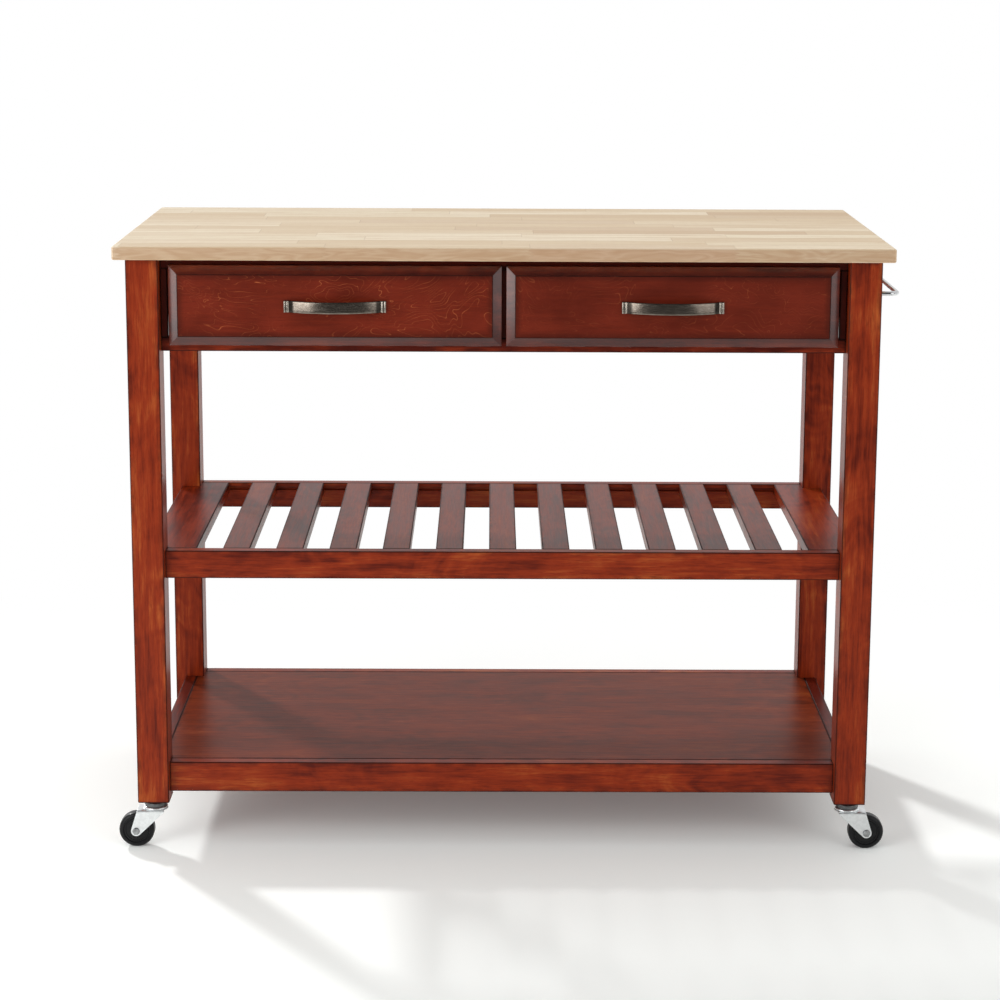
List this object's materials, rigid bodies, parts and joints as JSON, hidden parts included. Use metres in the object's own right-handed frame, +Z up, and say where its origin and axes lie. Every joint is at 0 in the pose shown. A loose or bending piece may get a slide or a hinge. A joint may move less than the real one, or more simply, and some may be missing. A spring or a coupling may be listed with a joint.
{
  "type": "rolling kitchen island table",
  "caption": "Rolling kitchen island with a butcher block top, side-by-side drawers, a slatted shelf over a solid shelf, a towel bar and swivel casters.",
  "frame": {"origin": "on the floor under the middle of the top", "axes": "+Z up, +X to the right of someone who faces the drawers, -Y out of the drawer fronts"},
  "size_m": [1.109, 0.51, 0.88],
  "materials": {
    "butcher_block": "satin oiled maple or beech staves",
    "cherry": "semi-gloss reddish cherry stain",
    "drawer_wood": "pale unstained hardwood",
    "zinc": "bright zinc plate",
    "bearing_steel": "polished steel",
    "pewter": "dark antique pewter, brushed",
    "chrome": "polished",
    "wheel_black": "semi-gloss black"
  },
  "bodies": {
    "table": {"butcher_block_top": "butcher_block", "leg_front_left": "cherry", "leg_front_right": "cherry", "leg_back_left": "cherry", "leg_back_right": "cherry", "side_apron_left": "cherry", "side_apron_right": "cherry", "back_apron": "cherry", "front_top_rail": "cherry", "front_bottom_rail": "cherry", "front_stile_left": "cherry", "front_stile_right": "cherry", "front_stile_middle": "cherry", "centre_partition": "cherry", "slide_supports": "cherry", "top_cleats": "cherry", "top_screws": "zinc", "frame_dowels": "drawer_wood", "slatted_shelf_front_rail": "cherry", "slatted_shelf_back_rail": "cherry", "slatted_shelf_end_boards": "cherry", "slatted_shelf_slats": "cherry", "solid_shelf_front_rail": "cherry", "solid_shelf_back_rail": "cherry", "solid_shelf_side_rails": "cherry", "solid_shelf_panel": "cherry", "towel_bar": "chrome", "cabinet_slide_channels": "zinc", "caster_stems": "zinc"},
    "left_drawer": {"left_drawer_front": "cherry", "left_drawer_inner_front": "drawer_wood", "left_drawer_sides": "drawer_wood", "left_drawer_back": "drawer_wood", "left_drawer_bottom": "drawer_wood", "left_drawer_pull": "pewter", "left_pull_screws": "zinc", "left_drawer_slide_channels": "zinc"},
    "left_cages": {"left_ball_cages": "bearing_steel"},
    "right_drawer": {"right_drawer_front": "cherry", "right_drawer_inner_front": "drawer_wood", "right_drawer_sides": "drawer_wood", "right_drawer_back": "drawer_wood", "right_drawer_bottom": "drawer_wood", "right_drawer_pull": "pewter", "right_pull_screws": "zinc", "right_drawer_slide_channels": "zinc"},
    "right_cages": {"right_ball_cages": "bearing_steel"},
    "front_left_caster": {"caster_fork_front_left": "zinc", "caster_axle_front_left": "zinc"},
    "front_left_wheel": {"caster_wheel_front_left": "wheel_black"},
    "front_right_caster": {"caster_fork_front_right": "zinc", "caster_axle_front_right": "zinc"},
    "front_right_wheel": {"caster_wheel_front_right": "wheel_black"},
    "back_left_caster": {"caster_fork_back_left": "zinc", "caster_axle_back_left": "zinc"},
    "back_left_wheel": {"caster_wheel_back_left": "wheel_black"},
    "back_right_caster": {"caster_fork_back_right": "zinc", "caster_axle_back_right": "zinc"},
    "back_right_wheel": {"caster_wheel_back_right": "wheel_black"}
  },
  "joints": [
    {"name": "left_drawer_slide", "type": "slide", "parent": "table", "child": "left_drawer", "axis": [0, -1, 0], "range_m": [0, 0.28]},
    {"name": "left_cage_slide", "type": "slide", "parent": "table", "child": "left_cages", "axis": [0, -1, 0], "range_m": [0, 0.14]},
    {"name": "right_drawer_slide", "type": "slide", "parent": "table", "child": "right_drawer", "axis": [0, -1, 0], "range_m": [0, 0.28]},
    {"name": "right_cage_slide", "type": "slide", "parent": "table", "child": "right_cages", "axis": [0, -1, 0], "range_m": [0, 0.14]},
    {"name": "front_left_swivel", "type": "hinge", "parent": "table", "child": "front_left_caster", "pos_m": [-0.5015, -0.2155, 0.06], "axis": [0, 0, 1], "continuous": true},
    {"name": "front_left_wheel_spin", "type": "hinge", "parent": "front_left_caster", "child": "front_left_wheel", "pos_m": [-0.529, -0.2155, 0.0255], "axis": [0, 1, 0], "continuous": true},
    {"name": "front_right_swivel", "type": "hinge", "parent": "table", "child": "front_right_caster", "pos_m": [0.5015, -0.2155, 0.06], "axis": [0, 0, 1], "continuous": true},
    {"name": "front_right_wheel_spin", "type": "hinge", "parent": "front_right_caster", "child": "front_right_wheel", "pos_m": [0.529, -0.2155, 0.0255], "axis": [0, 1, 0], "continuous": true},
    {"name": "back_left_swivel", "type": "hinge", "parent": "table", "child": "back_left_caster", "pos_m": [-0.5015, 0.2155, 0.06], "axis": [0, 0, 1], "continuous": true},
    {"name": "back_left_wheel_spin", "type": "hinge", "parent": "back_left_caster", "child": "back_left_wheel", "pos_m": [-0.529, 0.2155, 0.0255], "axis": [0, 1, 0], "continuous": true},
    {"name": "back_right_swivel", "type": "hinge", "parent": "table", "child": "back_right_caster", "pos_m": [0.5015, 0.2155, 0.06], "axis": [0, 0, 1], "continuous": true},
    {"name": "back_right_wheel_spin", "type": "hinge", "parent": "back_right_caster", "child": "back_right_wheel", "pos_m": [0.529, 0.2155, 0.0255], "axis": [0, 1, 0], "continuous": true}
  ],
  "couplings": [
    {"joint": "left_cage_slide", "follows": "left_drawer_slide", "ratio": 0.5},
    {"joint": "right_cage_slide", "follows": "right_drawer_slide", "ratio": 0.5}
  ]
}
